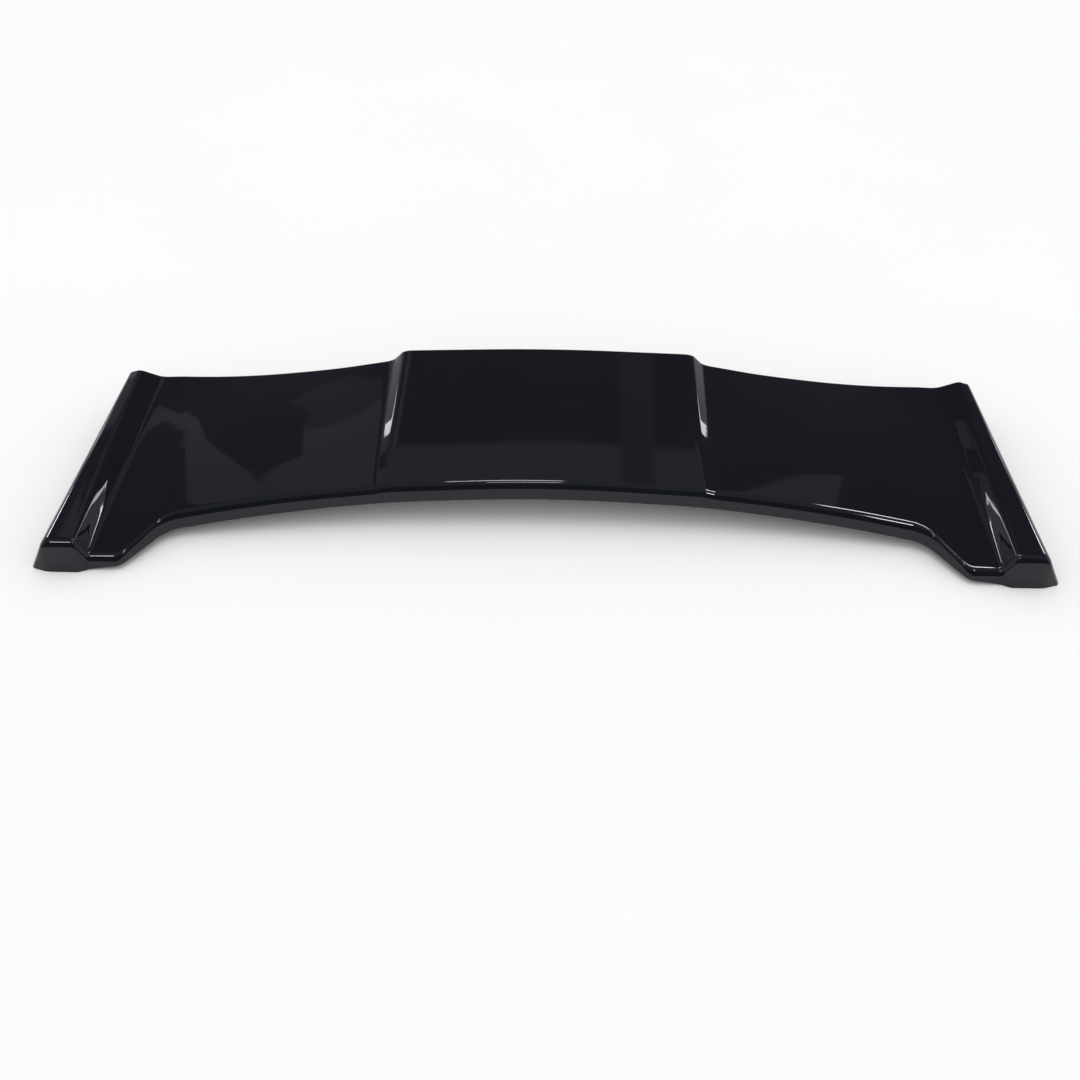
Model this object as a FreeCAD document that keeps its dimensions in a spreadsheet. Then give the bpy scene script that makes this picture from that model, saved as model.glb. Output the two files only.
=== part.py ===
# Car roof spoiler: one hollow plastic moulding, painted gloss black.
# Millimetres. X runs across the car, Y runs rearwards, Z is up.
# The origin is the middle of the footprint, level with the flat pads under the two ends.
import FreeCAD, Part
import math
import os
import Sketcher
from FreeCAD import Vector

doc = FreeCAD.newDocument("roof_spoiler")

# Sizes
sheet = doc.addObject("Spreadsheet::Sheet", "sizes")
SIZES = (
    ("overall_width", 1204, "across the outer edges of the feet"),
    ("overall_depth", 348, "front of the feet to the middle of the trailing edge"),
    ("wall", 3, "thickness of the moulding"),
    ("arm_reach", 106, "feet in front of the middle of the leading edge"),
    ("end_taper", 13, "each end comes in by this much towards the trailing edge"),
    ("nose_radius", 2600, "sweep of the leading edge seen from above"),
    ("tail_radius", 10600, "sweep of the trailing edge seen from above"),
    ("arm_angle", 55, "slant of the arm's inner edge, degrees from straight across"),
    ("arm_bend", 25, "half length of the bend where the leading edge turns into the arm"),
    ("foot_bend", 10, "half length of the bend at the inner front corner of the foot"),
    ("foot_width", 107.5, "outer edge of the foot to its inner front corner"),
    ("hump_width", 382, "flat top of the raised middle panel"),
    ("hump_run", 16, "width of the slope at each side of the raised panel"),
    ("hump_crown", 5, "rise of the raised panel from its sides to its middle"),
    ("hump_nose_height", 60, "middle of the raised panel at the leading edge"),
    ("hump_tail_height", 94, "middle of the raised panel at the trailing edge"),
    ("root_nose_height", 52, "wing beside the raised panel at the leading edge"),
    ("root_tail_height", 73, "wing beside the raised panel at the trailing edge"),
    ("wing_crown", 4, "rise of the wing above a straight line, near the leading edge"),
    ("wing_dip", 7, "dip of the wing below a straight line at the feet"),
    ("wing_scoop", 11, "dip of the wing below a straight line at the trailing edge"),
    ("tip_front_height", 18, "wing beside the fin at the feet"),
    ("tip_nose_height", 29, "wing beside the fin level with the leading edge"),
    ("tip_tail_height", 49, "wing beside the fin at the trailing edge"),
    ("fin_front_height", 40, "top of the fin at the feet"),
    ("fin_tail_height", 61, "top of the fin at the trailing edge"),
    ("fin_front_width", 37, "flat top of the fin at the feet"),
    ("fin_tail_width", 14, "flat top of the fin at the trailing edge"),
    ("fin_front_slope", 12, "width of the fin's inner slope at the feet"),
    ("fin_tail_slope", 28, "width of the fin's inner slope at the trailing edge"),
    ("end_front_lean", 21, "lean of the outer end wall at the feet"),
    ("end_tail_lean", 28, "lean of the outer end wall at the trailing edge"),
    ("fin_tail_fall", 4, "outward fall of the fin's top at the trailing edge"),
    ("crease_front", 3, "half length of a rounded crease at the feet"),
    ("crease_tail", 12, "half length of a rounded crease at the trailing edge"),
    ("shoulder_front", 9, "half length of the rounded outer corner of the fin at the feet"),
    ("shoulder_tail", 14, "half length of the rounded outer corner of the fin at the trailing edge"),
    ("tunnel_width", 1088, "arched underside between the end pads"),
    ("tunnel_height", 38, "middle of the arched underside above the pads"),
    ("kick_start", 90, "where the underside starts to sweep up, behind the middle"),
    ("kick_mid_height", 49, "middle of the underside at the trailing edge"),
    ("kick_end_height", 30, "underside at the outer ends of the trailing edge"),
    ("nose_crease", 9, "half length of the rounded fold along the leading edge and the feet"),
    ("tail_crease", 4, "half length of the rounded fold along the trailing edge"),
    ("rim_lean", 10, "lean of the rim below the leading edge and the feet, degrees from upright"),
)
for row, (name, value, note) in enumerate(SIZES, start=1):
    sheet.set("A%d" % row, name)
    sheet.set("B%d" % row, str(value))
    sheet.set("C%d" % row, note)
    sheet.setAlias("B%d" % row, name)
doc.recompute()


def size(name):
    return float(getattr(sheet, name))


# Stations along the spoiler: fold above the feet, middle of the leading edge, middle of the trailing edge
LEAN = math.tan(math.radians(size("rim_lean")))
FRONT = -size("overall_depth") / 2 + size("fin_front_height") * LEAN
NOSE = -size("overall_depth") / 2 + size("arm_reach")
TAIL = size("overall_depth") / 2

# How far the blocks and cutters run past the spoiler
MARGIN = 12.0
RUN_OUT = 40.0
SKIRT = 20.0
DEEP = 60.0
KICK_SINK = 2.0


def between(y, front, tail):
    """A size that changes evenly from the feet to the trailing edge."""
    return front + (tail - front) * (y - FRONT) / (TAIL - FRONT)


def behind_nose(y, nose, tail):
    """A size that changes evenly from the leading edge to the trailing edge."""
    return nose + (tail - nose) * (y - NOSE) / (TAIL - NOSE)


def through(y, front, nose, tail):
    """A size that bends smoothly through its values at the feet, leading edge and trailing edge."""
    at_front = front * (y - NOSE) * (y - TAIL) / ((FRONT - NOSE) * (FRONT - TAIL))
    at_nose = nose * (y - FRONT) * (y - TAIL) / ((NOSE - FRONT) * (NOSE - TAIL))
    at_tail = tail * (y - FRONT) * (y - NOSE) / ((TAIL - FRONT) * (TAIL - NOSE))
    return at_front + at_nose + at_tail


def wing_bulge(y):
    """Rise of the middle of the wing above a straight line."""
    return through(y, -size("wing_dip"), size("wing_crown"), -size("wing_scoop"))


def corners(y):
    """Corner points of the top, from the middle of the raised panel out to the edge of the pad."""
    edge = size("overall_width") / 2 - between(y, 0, size("end_taper"))
    shoulder = edge - between(y, size("end_front_lean"), size("end_tail_lean"))
    ridge = shoulder - between(y, size("fin_front_width"), size("fin_tail_width"))
    tip = ridge - between(y, size("fin_front_slope"), size("fin_tail_slope"))
    panel = size("hump_width") / 2
    root = panel + size("hump_run")
    top = behind_nose(y, size("hump_nose_height"), size("hump_tail_height"))
    root_z = behind_nose(y, size("root_nose_height"), size("root_tail_height"))
    tip_z = through(y, size("tip_front_height"), size("tip_nose_height"), size("tip_tail_height"))
    fin_z = between(y, size("fin_front_height"), size("fin_tail_height"))
    bulge = wing_bulge(y)
    return [
        Vector(0, y, top),
        Vector(panel, y, top - size("hump_crown")),
        Vector(root, y, root_z),
        Vector(0.75 * root + 0.25 * tip, y, 0.75 * root_z + 0.25 * tip_z + 0.75 * bulge),
        Vector(0.5 * root + 0.5 * tip, y, 0.5 * root_z + 0.5 * tip_z + bulge),
        Vector(tip, y, tip_z),
        Vector(ridge, y, fin_z),
        Vector(shoulder, y, fin_z - between(y, 0, size("fin_tail_fall"))),
        Vector(edge, y, 0),
        Vector(edge + SKIRT / 2, y, -SKIRT),
    ]


def inset(points, gap, up):
    """Corner points moved inwards by a wall thickness, in the plane of X and the direction up."""
    sides = []
    for first, second in zip(points, points[1:]):
        run = (second - first).normalize()
        sides.append(up * -run.x + Vector(run.dot(up), 0, 0))
    moved = [points[0] + sides[0] * gap]
    for point, one, two in zip(points[1:-1], sides, sides[1:]):
        moved.append(point + (one + two) * (gap / (1 + one.dot(two))))
    moved.append(points[-1] + sides[-1] * gap)
    return moved


def crease(before, corner, after, reach):
    """Control points that round a corner off, limited by the lengths of its two sides."""
    back = before - corner
    ahead = after - corner
    return [
        corner + back * min(2 * reach / back.Length, 0.45),
        corner,
        corner + ahead * min(2 * reach / ahead.Length, 0.45),
    ]


def section(y, gap):
    """Control points of the top at one place along the car, from its middle outwards, in two runs."""
    points = corners(y)
    if gap:
        points = inset(points, gap, Vector(0, 0, 1))
    reach = between(y, size("crease_front"), size("crease_tail"))
    panel = crease(*points[0:3], reach)
    root = crease(*points[1:4], reach)
    tip = crease(*points[4:7], reach)
    ridge = crease(*points[5:8], reach)
    shoulder = crease(*points[6:9], between(y, size("shoulder_front"), size("shoulder_tail")))
    inner = points[0:1] + panel + root + points[3:5]
    outer = tip + ridge + shoulder + points[8:10]
    return inner, outer


def nose_line(x):
    """Leading edge seen from above."""
    return NOSE - x * x / (2 * size("nose_radius"))


def tail_line(x):
    """Trailing edge seen from above."""
    return TAIL - x * x / (2 * size("tail_radius"))


def arm_points(gap):
    """Control points of the arm's inner edge seen from above."""
    slant = math.tan(math.radians(size("arm_angle")))
    foot = size("overall_width") / 2 - size("foot_width")
    drop = FRONT - NOSE + foot * slant
    arm = size("nose_radius") * (slant - math.sqrt(slant ** 2 - 2 * drop / size("nose_radius")))
    start = arm - 3 * size("arm_bend")
    points = [
        Vector(start, nose_line(start), 0),
        Vector(arm, nose_line(arm), 0),
        Vector(foot, FRONT, 0),
        Vector(foot + 3 * size("foot_bend"), FRONT, 0),
    ]
    if gap:
        points = inset(points, -gap, Vector(0, 1, 0))
    return crease(*points[0:3], size("arm_bend")) + crease(*points[1:4], size("foot_bend"))


def skin_columns(gap):
    """Rows of control points, one column after another from the middle of the spoiler to its end."""
    arms = arm_points(gap)
    inner, outer = section(NOSE, gap)
    fronts = [nose_line(p.x) + gap for p in inner] + [p.y for p in arms] + [FRONT + gap] * len(outer)
    shares = []
    for point in arms:
        wing = section(point.y, gap)
        bend = wing[0][-1]
        shares.append((point.x - bend.x) / (wing[1][0].x - bend.x))

    def place(index, y):
        inner, outer = section(y, gap)
        if index < len(inner):
            return inner[index]
        if index < len(inner) + len(arms):
            bend = inner[-1]
            share = shares[index - len(inner)]
            rise = Vector(0, 0, wing_bulge(y) * share * (1 - share))
            return bend + (outer[0] - bend) * share + rise
        return outer[index - len(inner) - len(arms)]

    def rim(index, front, drop):
        y = front - LEAN * drop
        return Vector(place(index, y).x, y, place(index, front).z - drop)

    columns = []
    for index, front in enumerate(fronts):
        rear = tail_line(place(index, TAIL).x) - gap
        nose = 2 * size("nose_crease")
        tail = 2 * size("tail_crease")
        fold = place(index, front)
        edge = place(index, rear)
        columns.append(
            [
                rim(index, front, fold.z + DEEP),
                rim(index, front, nose),
                fold,
                place(index, front + nose),
                place(index, front + (rear - front) / 3),
                place(index, rear - (rear - front) / 3),
                place(index, rear - tail),
                edge,
                edge - Vector(0, 0, tail),
                Vector(edge.x, rear, -DEEP),
            ]
        )
    return columns


def skin_block(name, gap):
    """Solid under the top of the spoiler and its rims, running on below the level of the pads."""
    half = skin_columns(gap)
    mirrored = [[Vector(-p.x, p.y, p.z) for p in column] for column in reversed(half[1:])]
    poles = mirrored + half
    across = len(poles)
    along = len(poles[0])
    skin = Part.BSplineSurface()
    skin.buildFromPolesMultsKnots(
        poles,
        [3] + [1] * (across - 3) + [3],
        [3] + [1] * (along - 3) + [3],
        list(range(across - 1)),
        list(range(along - 1)),
        False,
        False,
        2,
        2,
    )
    front = skin.vIso(0).toShape()
    rear = skin.vIso(along - 2).toShape()
    left = skin.uIso(0).toShape()
    right = skin.uIso(across - 2).toShape()
    left_foot = Part.makeLine(poles[0][0], poles[0][-1])
    right_foot = Part.makeLine(poles[-1][0], poles[-1][-1])
    faces = [skin.toShape()]
    for edges in ([left, left_foot], [right, right_foot], [front, right_foot, rear, left_foot]):
        faces.append(Part.Face(Part.Wire(Part.__sortEdges__(edges))))
    shell = Part.makeShell(faces)
    shell.sewShape()
    block = doc.addObject("Part::Feature", name)
    block.Shape = Part.makeSolid(shell)
    return block


def bind(sketch, kind, *parts):
    """A sketch dimension that follows the sheet; the last part is its formula."""
    formula = parts[-1]
    rule = Sketcher.Constraint(kind, *parts[:-1], sketch.evalExpression(formula))
    sketch.setExpression("Constraints[%d]" % sketch.addConstraint(rule), formula)


def ring(centre, radius, first, last):
    return Part.ArcOfCircle(Part.Circle(centre, Vector(0, 0, 1), radius), first, last)


def draw_arch(name, place, half, middle, radius):
    """Arched section seen from the front, standing at a place along the car; all four are formulas."""
    sketch = doc.addObject("Sketcher::SketchObject", name)
    sketch.Placement = FreeCAD.Placement(Vector(0, 0, 0), FreeCAD.Rotation(Vector(1, 0, 0), 90))
    sketch.setExpression("Placement.Base.y", place)
    wide = sketch.evalExpression(half)
    centre = Vector(0, sketch.evalExpression(middle), 0)
    reach = sketch.evalExpression(radius)
    turn = math.acos(wide / reach)
    high = centre.y + reach * math.sin(turn)
    sketch.addGeometry(
        [
            ring(centre, reach, turn, math.pi - turn),
            Part.LineSegment(Vector(-wide, high, 0), Vector(-wide, -DEEP, 0)),
            Part.LineSegment(Vector(-wide, -DEEP, 0), Vector(wide, -DEEP, 0)),
            Part.LineSegment(Vector(wide, -DEEP, 0), Vector(wide, high, 0)),
        ]
    )
    arc, left, floor, right = range(4)
    start, end, middle_point = range(1, 4)
    origin = (-1, start)
    upright = -2
    rules = (
        ("Coincident", arc, end, left, start),
        ("Coincident", left, end, floor, start),
        ("Coincident", floor, end, right, start),
        ("Coincident", right, end, arc, start),
        ("PointOnObject", arc, middle_point, upright),
        ("Vertical", left),
        ("Vertical", right),
        ("Horizontal", floor),
    )
    for rule in rules:
        sketch.addConstraint(Sketcher.Constraint(*rule))
    bind(sketch, "Radius", arc, radius)
    bind(sketch, "DistanceY", *origin, arc, middle_point, middle)
    bind(sketch, "DistanceX", *origin, right, end, half)
    bind(sketch, "DistanceX", left, end, *origin, half)
    bind(sketch, "DistanceY", floor, end, *origin, "%g" % DEEP)
    return sketch


def extrude(name, profile, direction, length):
    bar = doc.addObject("Part::Extrusion", name)
    bar.Base = profile
    bar.DirMode = "Custom"
    bar.Dir = direction
    bar.Solid = True
    bar.setExpression("LengthFwd", length)
    return bar


def cut_from(name, base, tool):
    cut = doc.addObject("Part::Cut", name)
    cut.Base = base
    cut.Tool = tool
    return cut


def body(name, gap, lift):
    """Skin block cut off level with the pads, arched underneath and swept up at the trailing edge."""
    half_side = "(sizes.overall_width / 2 + %g)" % MARGIN
    tunnel_radius = "(sizes.tunnel_height / 2 + sizes.tunnel_width ^ 2 / (8 * sizes.tunnel_height))"
    tunnel_middle = "sizes.tunnel_height + %s - %s" % (lift, tunnel_radius)
    sweep = "(sizes.kick_mid_height - sizes.kick_end_height)"
    sweep_radius = "(%s / 2 + %s ^ 2 / (2 * %s))" % (sweep, half_side, sweep)
    sweep_middle = "sizes.kick_mid_height + %s - %s" % (lift, sweep_radius)
    front = "-sizes.overall_depth / 2 - %g" % RUN_OUT
    rear = "sizes.overall_depth / 2 + %g" % MARGIN
    length = "sizes.overall_depth + %g" % (RUN_OUT + MARGIN)
    floor = doc.addObject("Part::Box", name + "_floor")
    floor.setExpression("Length", "2 * " + half_side)
    floor.setExpression("Width", length)
    floor.setExpression("Height", "%g + %s" % (DEEP + MARGIN, lift))
    floor.setExpression("Placement.Base.x", "-" + half_side)
    floor.setExpression("Placement.Base.y", front)
    floor.Placement.Base.z = -DEEP - MARGIN
    arch = draw_arch(name + "_arch", front, "sizes.tunnel_width / 2", tunnel_middle, tunnel_radius)
    tunnel = extrude(name + "_tunnel", arch, Vector(0, 1, 0), length)
    start_middle = "%s - %g" % (tunnel_middle, KICK_SINK)
    low = draw_arch(name + "_kick_front", "sizes.kick_start", half_side, start_middle, tunnel_radius)
    high = draw_arch(name + "_kick_rear", rear, half_side, sweep_middle, sweep_radius)
    kick = doc.addObject("Part::Loft", name + "_kick")
    kick.Sections = [low, high]
    kick.Solid = True
    kick.Ruled = True
    below = doc.addObject("Part::MultiFuse", name + "_below")
    below.Shapes = [floor, tunnel, kick]
    return cut_from(name + "_top", skin_block(name + "_block", gap), below)


outer = body("outer", 0, "0")
core = body("core", size("wall"), "sizes.wall")
spoiler = cut_from("spoiler", outer, core)
spoiler.Label = "spoiler_shell"
doc.recompute()

# Checks and output
os.makedirs("parts", exist_ok=True)
for item in doc.Objects:
    for word in ("Invalid", "Error"):
        if word in item.State:
            raise RuntimeError("%s is %s" % (item.Label, word))
if spoiler.Shape.isNull() or not spoiler.Shape.isValid():
    raise RuntimeError("%s has no valid shape" % spoiler.Label)
spoiler.Shape.exportStep(os.path.join("parts", spoiler.Label + ".step"))
print(spoiler.Label, len(spoiler.Shape.Solids), spoiler.Shape.Volume, spoiler.Shape.BoundBox)
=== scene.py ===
"""Gloss-black car roof spoiler on a white floor. Metres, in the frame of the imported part."""

import math

import bmesh
import bpy
import numpy as np
from mathutils import Matrix, Vector


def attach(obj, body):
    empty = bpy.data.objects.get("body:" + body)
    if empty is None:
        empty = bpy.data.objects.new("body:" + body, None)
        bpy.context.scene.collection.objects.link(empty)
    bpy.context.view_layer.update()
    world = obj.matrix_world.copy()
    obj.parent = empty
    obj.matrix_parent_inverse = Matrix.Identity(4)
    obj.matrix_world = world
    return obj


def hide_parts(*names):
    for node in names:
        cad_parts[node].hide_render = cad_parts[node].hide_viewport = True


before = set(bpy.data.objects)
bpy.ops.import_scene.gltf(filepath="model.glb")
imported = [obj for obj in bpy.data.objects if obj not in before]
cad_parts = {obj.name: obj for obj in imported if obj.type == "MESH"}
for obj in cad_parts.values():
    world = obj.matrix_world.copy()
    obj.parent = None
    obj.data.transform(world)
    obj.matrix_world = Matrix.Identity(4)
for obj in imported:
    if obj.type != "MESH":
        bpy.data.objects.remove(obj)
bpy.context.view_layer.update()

MM = 0.001

# Spoiler seen from above, millimetres and degrees
WIDTH = 1204.0
DEPTH = 348.0
ARM_REACH = 106.0
END_TAPER = 13.0
NOSE_RADIUS = 2600.0
TAIL_RADIUS = 10600.0
ARM_ANGLE = 55.0
ARM_BEND = 25.0
FOOT_BEND = 10.0
FOOT_WIDTH = 107.5

# Raised middle panel, millimetres
HUMP_WIDTH = 382.0
HUMP_RUN = 16.0
HUMP_CROWN = 5.0
HUMP_NOSE_HEIGHT = 60.0
HUMP_TAIL_HEIGHT = 94.0

# Wings, millimetres
ROOT_NOSE_HEIGHT = 52.0
ROOT_TAIL_HEIGHT = 73.0
WING_CROWN = 4.0
WING_DIP = 7.0
WING_SCOOP = 11.0
TIP_FRONT_HEIGHT = 18.0
TIP_NOSE_HEIGHT = 29.0
TIP_TAIL_HEIGHT = 49.0

# Fins and end walls, millimetres
FIN_FRONT_HEIGHT = 40.0
FIN_TAIL_HEIGHT = 61.0
FIN_FRONT_WIDTH = 37.0
FIN_TAIL_WIDTH = 14.0
FIN_FRONT_SLOPE = 12.0
FIN_TAIL_SLOPE = 28.0
FIN_TAIL_FALL = 4.0
END_FRONT_LEAN = 21.0
END_TAIL_LEAN = 28.0

# How far each rounded crease reaches from its corner, millimetres
CREASE_FRONT = 3.0
CREASE_TAIL = 12.0
SHOULDER_FRONT = 9.0
SHOULDER_TAIL = 14.0
NOSE_CREASE = 9.0
TAIL_CREASE = 4.0

# Lean of the rim below the leading edge, degrees
RIM_ANGLE = 10.0

# Underside: the arch between the pads and the sweep up to the rear, millimetres
TUNNEL_WIDTH = 1088.0
TUNNEL_HEIGHT = 38.0
KICK_START = 90.0
KICK_MID_HEIGHT = 49.0
KICK_END_HEIGHT = 30.0
KICK_SINK = 2.0

# Run of the surfaces past the finished part, millimetres
MARGIN = 12.0
SKIRT = 20.0
DEEP = 60.0

# Slopes and places worked out from these sizes
RIM_LEAN = math.tan(math.radians(RIM_ANGLE))
ARM_SLANT = math.tan(math.radians(ARM_ANGLE))
FRONT = -DEPTH / 2 + FIN_FRONT_HEIGHT * RIM_LEAN
NOSE = -DEPTH / 2 + ARM_REACH
TAIL = DEPTH / 2
FOOT = WIDTH / 2 - FOOT_WIDTH

# A crease takes at most this share of the side next to it
CREASE_LIMIT = 0.45
# Length of edge taken before the arm's bend and after the foot's, in reaches of that bend
BEND_RUN = 3

# Mesh of the skin: columns across, and rows of each fold, of the top and of the two rims
COLUMNS = 441
FOLD_ROWS = 13
TOP_ROWS = 45
FRONT_RIM_ROWS = 6
REAR_RIM_ROWS = 5
# Where the two folds begin and end along the rows of control points
LEADING_FOLD = (1.0, 2.0)
TRAILING_FOLD = (6.0, 7.0)
# Joining of points and dropping of slivers in millimetres, sharp edges in degrees
WELD = 0.02
SLIVER = 0.01
SHARP_ANGLE = 40.0


def between(y, front, tail):
    """A size that goes evenly from the feet to the trailing edge."""
    return front + (tail - front) * (y - FRONT) / (TAIL - FRONT)


def behind_nose(y, nose, tail):
    """A size that goes evenly from the leading edge to the trailing edge."""
    return nose + (tail - nose) * (y - NOSE) / (TAIL - NOSE)


def through(y, front, nose, tail):
    """A size that curves smoothly through its values at the feet, leading edge and trailing edge."""
    at_front = front * (y - NOSE) * (y - TAIL) / ((FRONT - NOSE) * (FRONT - TAIL))
    at_nose = nose * (y - FRONT) * (y - TAIL) / ((NOSE - FRONT) * (NOSE - TAIL))
    at_tail = tail * (y - FRONT) * (y - NOSE) / ((TAIL - FRONT) * (TAIL - NOSE))
    return at_front + at_nose + at_tail


def wing_bulge(y):
    """Rise of the middle of the wing above a straight line."""
    return through(y, -WING_DIP, WING_CROWN, -WING_SCOOP)


def corners(y):
    """Corner points of the top at one place along the car, from the middle out."""
    edge = WIDTH / 2 - between(y, 0, END_TAPER)
    shoulder = edge - between(y, END_FRONT_LEAN, END_TAIL_LEAN)
    ridge = shoulder - between(y, FIN_FRONT_WIDTH, FIN_TAIL_WIDTH)
    tip = ridge - between(y, FIN_FRONT_SLOPE, FIN_TAIL_SLOPE)
    hump = HUMP_WIDTH / 2
    root = hump + HUMP_RUN
    top = behind_nose(y, HUMP_NOSE_HEIGHT, HUMP_TAIL_HEIGHT)
    root_z = behind_nose(y, ROOT_NOSE_HEIGHT, ROOT_TAIL_HEIGHT)
    tip_z = through(y, TIP_FRONT_HEIGHT, TIP_NOSE_HEIGHT, TIP_TAIL_HEIGHT)
    fin_z = between(y, FIN_FRONT_HEIGHT, FIN_TAIL_HEIGHT)
    bulge = wing_bulge(y)
    return np.array(
        [
            (0, y, top),
            (hump, y, top - HUMP_CROWN),
            (root, y, root_z),
            (0.75 * root + 0.25 * tip, y, 0.75 * root_z + 0.25 * tip_z + 0.75 * bulge),
            (0.5 * root + 0.5 * tip, y, 0.5 * root_z + 0.5 * tip_z + bulge),
            (tip, y, tip_z),
            (ridge, y, fin_z),
            (shoulder, y, fin_z - between(y, 0, FIN_TAIL_FALL)),
            (edge, y, 0),
            (edge + SKIRT / 2, y, -SKIRT),
        ],
        float,
    )


def crease(before, corner, after, reach):
    """Control points that round a corner off."""
    back = before - corner
    ahead = after - corner
    return [
        corner + back * min(2 * reach / np.linalg.norm(back), CREASE_LIMIT),
        corner,
        corner + ahead * min(2 * reach / np.linalg.norm(ahead), CREASE_LIMIT),
    ]


def section(y):
    """Control points across the top at one place along the car: panel and wing, then fin and end wall."""
    points = corners(y)
    reach = between(y, CREASE_FRONT, CREASE_TAIL)
    panel, root, tip, ridge = (crease(*points[i - 1 : i + 2], reach) for i in (1, 2, 5, 6))
    shoulder = crease(*points[6:9], between(y, SHOULDER_FRONT, SHOULDER_TAIL))
    inner = [points[0]] + panel + root + list(points[3:5])
    outer = tip + ridge + shoulder + [points[-2], points[-1]]
    return inner, outer


def nose_line(x):
    return NOSE - x * x / (2 * NOSE_RADIUS)


def tail_line(x):
    return TAIL - x * x / (2 * TAIL_RADIUS)


def arm_points():
    """Control points of the arm's inner edge, from the leading edge forward to the foot."""
    drop = FRONT - NOSE + FOOT * ARM_SLANT
    arm = NOSE_RADIUS * (ARM_SLANT - math.sqrt(ARM_SLANT**2 - 2 * drop / NOSE_RADIUS))
    start = arm - BEND_RUN * ARM_BEND
    points = [
        np.array((start, nose_line(start), 0)),
        np.array((arm, nose_line(arm), 0)),
        np.array((FOOT, FRONT, 0)),
        np.array((FOOT + BEND_RUN * FOOT_BEND, FRONT, 0)),
    ]
    return crease(*points[0:3], ARM_BEND) + crease(*points[1:4], FOOT_BEND)


def skin_columns():
    """Control points of the top and its rims: columns from the middle out, rows from front to rear."""
    arms = arm_points()
    inner, outer = section(NOSE)
    fronts = [nose_line(p[0]) for p in inner] + [p[1] for p in arms] + [FRONT] * len(outer)
    shares = []
    for point in arms:
        run_in, run_out = section(point[1])
        shares.append((point[0] - run_in[-1][0]) / (run_out[0][0] - run_in[-1][0]))

    def place(i, y):
        run_in, run_out = section(y)
        if i < len(run_in):
            return run_in[i]
        if i < len(run_in) + len(arms):
            share = shares[i - len(run_in)]
            bulge = wing_bulge(y) * share * (1 - share)
            return run_in[-1] + (run_out[0] - run_in[-1]) * share + (0, 0, bulge)
        return run_out[i - len(run_in) - len(arms)]

    def rim(i, front, drop):
        y = front - RIM_LEAN * drop
        return np.array((place(i, y)[0], y, place(i, front)[2] - drop))

    columns = []
    for i, front in enumerate(fronts):
        rear = tail_line(place(i, TAIL)[0])
        nose = 2 * NOSE_CREASE
        tail = 2 * TAIL_CREASE
        fold = place(i, front)
        edge = place(i, rear)
        columns.append(
            [
                rim(i, front, fold[2] + DEEP),
                rim(i, front, nose),
                fold,
                place(i, front + nose),
                place(i, front + (rear - front) / 3),
                place(i, rear - (rear - front) / 3),
                place(i, rear - tail),
                edge,
                edge - (0, 0, tail),
                (edge[0], rear, -DEEP),
            ]
        )
    half = np.array(columns, float)
    mirrored = half[:0:-1] * (-1, 1, 1)
    return np.concatenate([mirrored, half])


def blending(count, places):
    """Weights of a smooth quadratic curve's control points at each place along it."""
    spans = count - 2
    knots = np.concatenate([[0, 0], np.arange(spans + 1), [spans, spans]]).astype(float)
    weights = np.zeros((len(places), count))
    for row, t in enumerate(places):
        s = min(int(t), spans - 1)
        i = s + 2
        a = (t - knots[i]) / (knots[i + 1] - knots[i])
        left = (t - knots[i - 1]) / (knots[i + 1] - knots[i - 1])
        right = (t - knots[i]) / (knots[i + 2] - knots[i])
        weights[row, s] = (1 - left) * (1 - a)
        weights[row, s + 1] = left * (1 - a) + (1 - right) * a
        weights[row, s + 2] = right * a
    return weights


def arch(x, half, height, ends):
    """Height of a round arch that is `height` in the middle and `ends` at plus and minus half."""
    rise = height - ends
    radius = rise / 2 + half * half / (2 * rise)
    return height - radius + np.sqrt(radius * radius - x * x)


def under(x, y):
    """Height of the underside: flat pads, the arch between them and the sweep up to the rear."""
    half = TUNNEL_WIDTH / 2
    round_arch = arch(x, half, TUNNEL_HEIGHT, 0)
    tunnel = np.where(np.abs(x) < half, round_arch, 0)
    share = (y - KICK_START) / (TAIL + MARGIN - KICK_START)
    low = round_arch - KICK_SINK
    high = arch(x, WIDTH / 2 + MARGIN, KICK_MID_HEIGHT, KICK_END_HEIGHT)
    sweep = np.where(share > 0, low + (high - low) * share, -DEEP)
    return np.maximum(np.maximum(tunnel, 0), sweep)


def mesh_object(name, points, faces):
    mesh = bpy.data.meshes.new(name)
    mesh.from_pydata(points, [], faces)
    mesh.validate()
    mesh.update()
    made = bpy.data.objects.new(name, mesh)
    bpy.context.scene.collection.objects.link(made)
    return made


def trim(top):
    """Slide what lies below the underside up to the line where the end wall meets the underside."""
    clear = top[..., 2] - under(top[..., 0], top[..., 1])
    columns, rows = clear.shape
    middle = columns // 2
    for j in range(rows):
        for way in (1, -1):
            i = middle
            while 0 <= i < columns and clear[i, j] > 0:
                i += way
            inside = i - way
            share = clear[inside, j] / (clear[inside, j] - clear[i, j])
            meet = top[inside, j] + (top[i, j] - top[inside, j]) * share
            meet[2] = under(meet[0], meet[1])
            outer = slice(i, None) if way > 0 else slice(None, i + 1)
            top[outer, j] = meet


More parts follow.
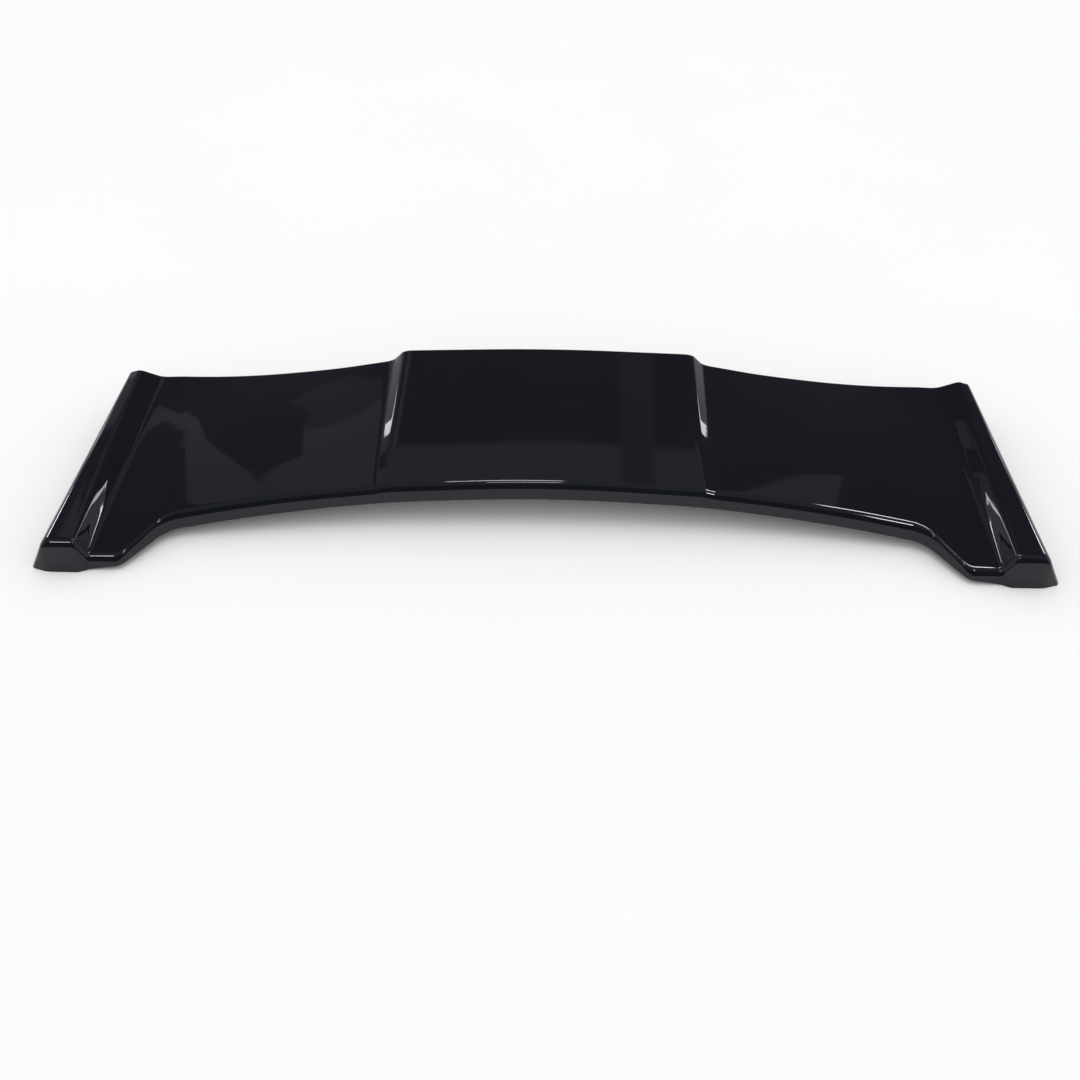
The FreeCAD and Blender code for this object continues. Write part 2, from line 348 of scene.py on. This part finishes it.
def shell_rings():
    """Rings of the closed skin, one to a column: front rim, top, rear rim and underside."""
    poles = skin_columns()
    across, along = poles.shape[:2]
    wide = blending(across, np.linspace(0, across - 2, COLUMNS))
    rows = np.concatenate(
        [
            np.linspace(*LEADING_FOLD, FOLD_ROWS),
            np.linspace(LEADING_FOLD[1], TRAILING_FOLD[0], TOP_ROWS)[1:],
            np.linspace(*TRAILING_FOLD, FOLD_ROWS)[1:],
        ]
    )
    top = np.einsum("ui,vj,ijk->uvk", wide, blending(along, rows), poles)
    trim(top)
    bottom = top.copy()
    bottom[..., 2] = under(bottom[..., 0], bottom[..., 1])
    fold = top[:, 0]
    edge = top[:, -1]
    sill = fold - (0, RIM_LEAN, 1) * (fold[:, 2:] - bottom[:, 0, 2:])
    front_rim = [sill + (fold - sill) * s for s in np.linspace(0, 1, FRONT_RIM_ROWS)[:-1]]
    rear_rim = [edge + (bottom[:, -1] - edge) * s for s in np.linspace(0, 1, REAR_RIM_ROWS)[1:-1]]
    rings = front_rim + list(top.swapaxes(0, 1)) + rear_rim + list(bottom.swapaxes(0, 1)[::-1])
    return np.stack(rings, axis=1) * MM


def build_shell():
    grid = shell_rings()
    columns, loop = grid.shape[:2]
    faces = []
    for i in range(columns - 1):
        for j in range(loop):
            k = (j + 1) % loop
            faces.append((i * loop + j, (i + 1) * loop + j, (i + 1) * loop + k, i * loop + k))
    made = mesh_object("spoiler_skin", grid.reshape(-1, 3).tolist(), faces)
    skin = bmesh.new()
    skin.from_mesh(made.data)
    bmesh.ops.remove_doubles(skin, verts=skin.verts, dist=WELD * MM)
    bmesh.ops.dissolve_degenerate(skin, edges=skin.edges, dist=SLIVER * MM)
    skin.to_mesh(made.data)
    skin.free()
    for polygon in made.data.polygons:
        polygon.use_smooth = True
    made.data.set_sharp_from_angle(angle=math.radians(SHARP_ANGLE))
    return made


class Value:
    """A shader socket that takes part in plain arithmetic."""

    def __init__(self, nodes, socket):
        self.nodes = nodes
        self.socket = socket

    def __add__(self, other):
        return self.nodes.add("ShaderNodeMath", {"operation": "ADD"}, {0: self, 1: other})

    def __mul__(self, other):
        return self.nodes.add("ShaderNodeMath", {"operation": "MULTIPLY"}, {0: self, 1: other})

    __radd__ = __add__
    __rmul__ = __mul__


class Nodes:
    """The node tree of one finish."""

    def __init__(self, owner):
        owner.use_nodes = True
        self.tree = owner.node_tree
        self.tree.nodes.clear()

    def add(self, kind, settings, values, output=0):
        node = self.tree.nodes.new(kind)
        for name, setting in settings.items():
            setattr(node, name, setting)
        for name, value in values.items():
            if isinstance(value, Value):
                self.tree.links.new(value.socket, node.inputs[name])
            else:
                node.inputs[name].default_value = value
        return Value(self, node.outputs[output]) if node.outputs else node


# Sockets of the Mix node when it mixes colours
MIX_SHARE = 0
MIX_FIRST = 6
MIX_SECOND = 7
MIX_COLOUR = 2

# Paint and floor colours
DEEPEST_BLACK = (0.0036, 0.0044, 0.0080, 1)
CLOUDED_BLACK = (0.0056, 0.0066, 0.0110, 1)
FLOOR_WHITE = (0.94, 0.94, 0.94, 1)
FLOOR_BRIGHT_WHITE = (0.96, 0.96, 0.96, 1)

# Gloss of the paint
POLISH = 0.025
POLISH_HAZE = 0.04
LACQUER_IOR = 1.42
PEEL_DEPTH = 0.05 * MM
PEEL_STRENGTH = 0.10

# Blue of the studio's light, against its red and green
COOLNESS = 1.08


def two_colours(nodes, share, first, second):
    """Mix of two colours by a share from 0 to 1."""
    return nodes.add(
        "ShaderNodeMix",
        {"data_type": "RGBA"},
        {MIX_SHARE: share, MIX_FIRST: first, MIX_SECOND: second},
        output=MIX_COLOUR,
    )


def gloss_black():
    """Deep black gloss paint: a faint cloudiness in the colour, polish haze and a fine orange peel."""
    made = bpy.data.materials.new("gloss black paint")
    nodes = Nodes(made)
    place = nodes.add("ShaderNodeTexCoord", {}, {}, output="Object")
    cloud = nodes.add("ShaderNodeTexNoise", {}, {"Vector": place, "Scale": 9.0, "Detail": 3.0})
    haze = nodes.add("ShaderNodeTexNoise", {}, {"Vector": place, "Scale": 60.0, "Detail": 4.0})
    peel = nodes.add("ShaderNodeTexNoise", {}, {"Vector": place, "Scale": 260.0, "Detail": 1.0})
    colour = two_colours(nodes, cloud, DEEPEST_BLACK, CLOUDED_BLACK)
    ripple = {"Strength": PEEL_STRENGTH, "Distance": PEEL_DEPTH, "Height": peel}
    bump = nodes.add("ShaderNodeBump", {}, ripple)
    gloss = nodes.add(
        "ShaderNodeBsdfPrincipled",
        {},
        {
            "Base Color": colour,
            "Roughness": POLISH + POLISH_HAZE * haze,
            "IOR": LACQUER_IOR,
            "Normal": bump,
        },
    )
    nodes.add("ShaderNodeOutputMaterial", {}, {"Surface": gloss})
    return made


def white_floor():
    made = bpy.data.materials.new("white floor")
    nodes = Nodes(made)
    place = nodes.add("ShaderNodeTexCoord", {}, {}, output="Object")
    cloud = nodes.add("ShaderNodeTexNoise", {}, {"Vector": place, "Scale": 3.0})
    colour = two_colours(nodes, cloud, FLOOR_WHITE, FLOOR_BRIGHT_WHITE)
    matt = nodes.add("ShaderNodeBsdfDiffuse", {}, {"Color": colour})
    nodes.add("ShaderNodeOutputMaterial", {}, {"Surface": matt})
    return made


def glow(name, level):
    """Even, slightly cool light of a studio panel."""
    made = bpy.data.materials.new(name)
    nodes = Nodes(made)
    light = nodes.add("ShaderNodeEmission", {}, {"Color": (level, level, level * COOLNESS, 1)})
    nodes.add("ShaderNodeOutputMaterial", {}, {"Surface": light})
    return made


# Floor and studio, metres
FLOOR_SIDE = 12
FLOOR_FRONT = -6
FLOOR_BACK = 14
SIDE_WALL = 3.9
BACK_WALL = 6.8
FRONT_WALL = -1.7
CEILING = 2.6
PANEL_HEIGHT = 2.45
MIDDLE_SIDE = 0.75
MIDDLE_FRONT = 1.77
STRIP_DROP = 0.01
WALL_LIGHT_SIDE = 3.85
WALL_LIGHT_LOW = 1.9
WALL_LIGHT_HIGH = 2.5

# Brightness of the studio, where 1 is white
CEILING_LEVEL = 0.33
DARK_LEVEL = 0.11
HALF_DARK_LEVEL = 0.19
PALE_WALL_LEVEL = 0.65
DARK_WALL_LEVEL = 0.08
RIDGE_LIGHT_LEVEL = 9
FIN_FOOT_LIGHT_LEVEL = 22
LAMP_LEVEL = 30
WORLD_LEVEL = 0.95

# Soft lamp above the studio: metres and watts
SOFT_LAMP_SIZE = 4.0
SOFT_LAMP_POWER = 25.0
SOFT_LAMP_PLACE = (0, 0.5, 5.0)


def level_panel(left, right, near, far, height):
    return [(left, near, height), (right, near, height), (right, far, height), (left, far, height)]


def upright_panel(start, end, low, high):
    return [(*start, low), (*end, low), (*end, high), (*start, high)]


def card(name, points, finish):
    """A flat panel that is seen only as a reflection in the gloss."""
    made = mesh_object(name, points, [tuple(range(len(points)))])
    made.data.materials.append(finish)
    made.visible_camera = False
    made.visible_diffuse = False
    made.visible_shadow = False


def lay_floor():
    points = level_panel(-FLOOR_SIDE, FLOOR_SIDE, FLOOR_FRONT, FLOOR_BACK, 0)
    floor = mesh_object("floor", points, [(0, 1, 2, 3)])
    floor.data.materials.append(white_floor())


def hang_ceiling():
    """Grey ceiling with darker panels below it, which give the top its light and dark areas."""
    whole = level_panel(-SIDE_WALL, SIDE_WALL, FRONT_WALL, BACK_WALL, CEILING)
    middle = level_panel(-MIDDLE_SIDE, MIDDLE_SIDE, MIDDLE_FRONT, BACK_WALL, PANEL_HEIGHT)
    strip = level_panel(0.35, 0.48, 1.2, 2.4, PANEL_HEIGHT - STRIP_DROP)
    dark = glow("dark panel", DARK_LEVEL)
    half_dark = glow("half dark panel", HALF_DARK_LEVEL)
    card("grey_ceiling", whole, glow("grey ceiling", CEILING_LEVEL))
    card("dark_panel_middle", middle, dark)
    card("half_dark_strip", strip, half_dark)
    seam = [(-2.0, BACK_WALL), (-1.7, 3.8), (-1.4, 3.1)]
    inner_left = [(-1.3, 2.7), (-MIDDLE_SIDE, 2.6), (-MIDDLE_SIDE, BACK_WALL)] + seam
    left = [(-1.2, 2.2), (-1.4, 1.8), (-2.0, 2.8), (-2.2, 3.4), (-2.4, BACK_WALL)] + seam
    far_left = [
        (-1.2, 0.6),
        (-1.8, 1.7),
        (-2.2, 2.7),
        (-2.2, 3.0),
        (-SIDE_WALL, 3.0),
        (-SIDE_WALL, 0.6),
    ]
    right = [
        (MIDDLE_SIDE, BACK_WALL),
        (MIDDLE_SIDE, 1.85),
        (1.4, 2.0),
        (1.2, 0.9),
        (SIDE_WALL, 0.9),
        (SIDE_WALL, BACK_WALL),
    ]
    for name, plan, finish in (
        ("half_dark_panel_left", inner_left, half_dark),
        ("dark_panel_left", left, dark),
        ("dark_panel_far_left", far_left, dark),
        ("dark_panel_right", right, dark),
    ):
        card(name, [(x, y, PANEL_HEIGHT) for x, y in plan], finish)


def stand_walls():
    """Walls of the studio, and the lights just in front of them that draw the lines along the fins."""
    ridge_light = glow("ridge light", RIDGE_LIGHT_LEVEL)
    foot_light = glow("fin foot light", FIN_FOOT_LIGHT_LEVEL)
    for side, x in (("left", -WALL_LIGHT_SIDE), ("right", WALL_LIGHT_SIDE)):
        for name, near, far, finish in (
            ("ridge_light_", 3.82, 4.10, ridge_light),
            ("fin_foot_light_", 2.98, 3.42, foot_light),
        ):
            points = upright_panel((x, near), (x, far), WALL_LIGHT_LOW, WALL_LIGHT_HIGH)
            card(name + side, points, finish)
    pale_wall = glow("pale wall", PALE_WALL_LEVEL)
    dark_wall = glow("dark wall", DARK_WALL_LEVEL)
    for name, start, end, finish in (
        ("left_wall", (-SIDE_WALL, FRONT_WALL), (-SIDE_WALL, BACK_WALL), pale_wall),
        ("right_wall", (SIDE_WALL, BACK_WALL), (SIDE_WALL, FRONT_WALL), pale_wall),
        ("back_wall", (-SIDE_WALL, BACK_WALL), (SIDE_WALL, BACK_WALL), dark_wall),
        ("front_wall", (SIDE_WALL, FRONT_WALL), (-SIDE_WALL, FRONT_WALL), dark_wall),
    ):
        card(name, upright_panel(start, end, 0, CEILING), finish)


def hang_lamps():
    """Small bright lamps, which the gloss mirrors as thin highlights."""
    lamp = glow("lamp", LAMP_LEVEL)
    for name, left, right, near, far in (
        ("lamp_over_middle", -0.43, 0.05, 0.60, 0.74),
        ("second_lamp_over_middle", -0.24, 0.03, -0.35, -0.25),
        ("lamp_over_right", 1.05, 1.50, 0.45, 0.72),
        ("lamp_front_right", 1.00, 1.25, -1.50, -1.05),
        ("lamp_front_left", -1.70, -1.45, -1.30, -1.05),
    ):
        card(name, level_panel(left, right, near, far, PANEL_HEIGHT), lamp)


def light_floor():
    """White world and a soft lamp, which light the floor evenly."""
    soft = bpy.data.lights.new("soft lamp", "AREA")
    soft.shape = "SQUARE"
    soft.size = SOFT_LAMP_SIZE
    soft.energy = SOFT_LAMP_POWER
    soft_lamp = bpy.data.objects.new("soft lamp", soft)
    soft_lamp.location = SOFT_LAMP_PLACE
    bpy.context.scene.collection.objects.link(soft_lamp)
    world = bpy.data.worlds.new("studio")
    bpy.context.scene.world = world
    sky = Nodes(world)
    light = sky.add("ShaderNodeBackground", {}, {"Color": (1, 1, 1, 1), "Strength": WORLD_LEVEL})
    sky.add("ShaderNodeOutputWorld", {}, {"Surface": light})


# Camera: place in millimetres, angles in degrees
CAMERA_PLACE = (16.2, -1193.7, 981.3)
LOOK_DOWN = 42.0
LOOK_LEFT = 1.08
ROLL = 0.22
# Lens: focal length and image width in pixels, sensor width in millimetres, far limit in metres
FOCAL_PIXELS = 1213.0
IMAGE_PIXELS = 1080.0
SENSOR_WIDTH = 36.0
FAR_LIMIT = 50.0


def aim_camera():
    scene = bpy.context.scene
    camera = bpy.data.objects.new("camera", bpy.data.cameras.new("camera"))
    scene.collection.objects.link(camera)
    scene.camera = camera
    camera.data.sensor_width = SENSOR_WIDTH
    camera.data.lens = FOCAL_PIXELS / IMAGE_PIXELS * SENSOR_WIDTH
    camera.data.clip_end = FAR_LIMIT
    pitch = math.radians(LOOK_DOWN)
    roll = math.radians(ROLL)
    yaw = math.radians(LOOK_LEFT)
    right = Vector((math.cos(yaw), math.sin(yaw), 0))
    level = Vector((-math.sin(yaw), math.cos(yaw), 0))
    ahead = level * math.cos(pitch) - Vector((0, 0, math.sin(pitch)))
    up = level * math.sin(pitch) + Vector((0, 0, math.cos(pitch)))
    image_right = right * math.cos(roll) + up * math.sin(roll)
    image_up = up * math.cos(roll) - right * math.sin(roll)
    turn = Matrix((image_right, image_up, -ahead)).transposed().to_4x4()
    camera.matrix_world = Matrix.Translation(Vector(CAMERA_PLACE) * MM) @ turn


shell = build_shell()
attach(shell, "root")
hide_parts("spoiler_shell")
shell.data.materials.append(gloss_black())

lay_floor()
hang_ceiling()
stand_walls()
hang_lamps()
light_floor()
bpy.context.scene.view_settings.view_transform = "Standard"
aim_camera()
